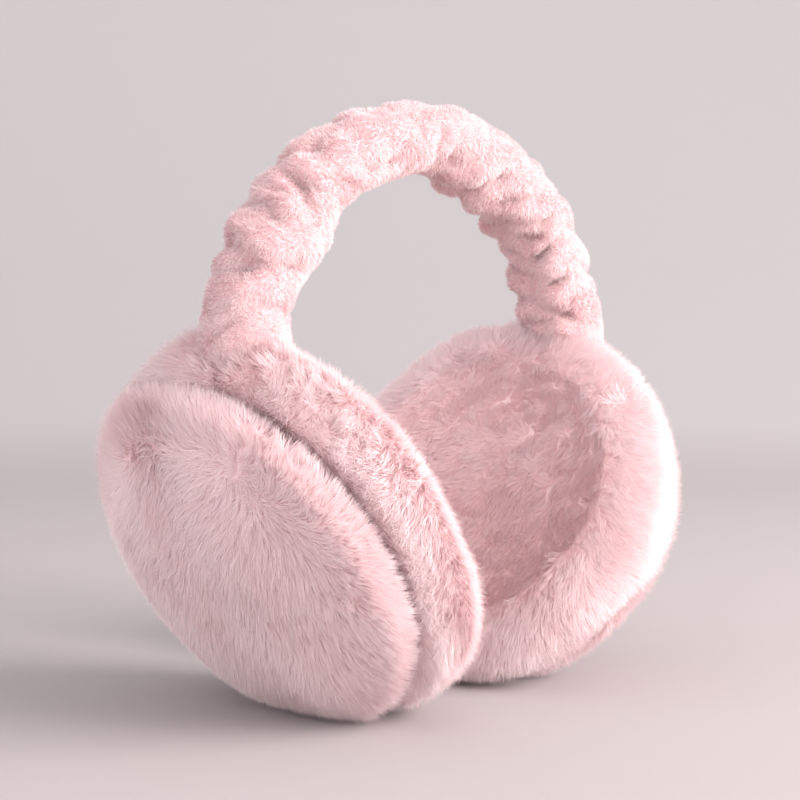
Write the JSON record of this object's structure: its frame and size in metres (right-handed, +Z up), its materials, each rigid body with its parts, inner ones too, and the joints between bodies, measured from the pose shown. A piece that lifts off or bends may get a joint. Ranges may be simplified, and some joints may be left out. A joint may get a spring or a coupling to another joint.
{
  "type": "fur earmuffs",
  "caption": "Earmuffs with round fur ear cups, each a domed outer cushion and a dished ear cushion, under an arched headband in a gathered plush sleeve.",
  "frame": {"origin": "on the surface that the two cups stand on, at the middle of the bounding box", "axes": "+X from the left cup to the right cup, +Z up along the arch, -Y the front"},
  "size_m": [0.187, 0.1245, 0.1771],
  "materials": {
    "sleeve_plush": "short soft pink plush, gathered",
    "outer_fur": "long soft pink faux fur",
    "inner_fur": "long soft pink faux fur"
  },
  "bodies": {
    "root": {"headband_sleeve": "sleeve_plush", "left_outer_cushion": "outer_fur", "left_inner_cushion": "inner_fur", "right_outer_cushion": "outer_fur", "right_inner_cushion": "inner_fur"}
  },
  "joints": []
}
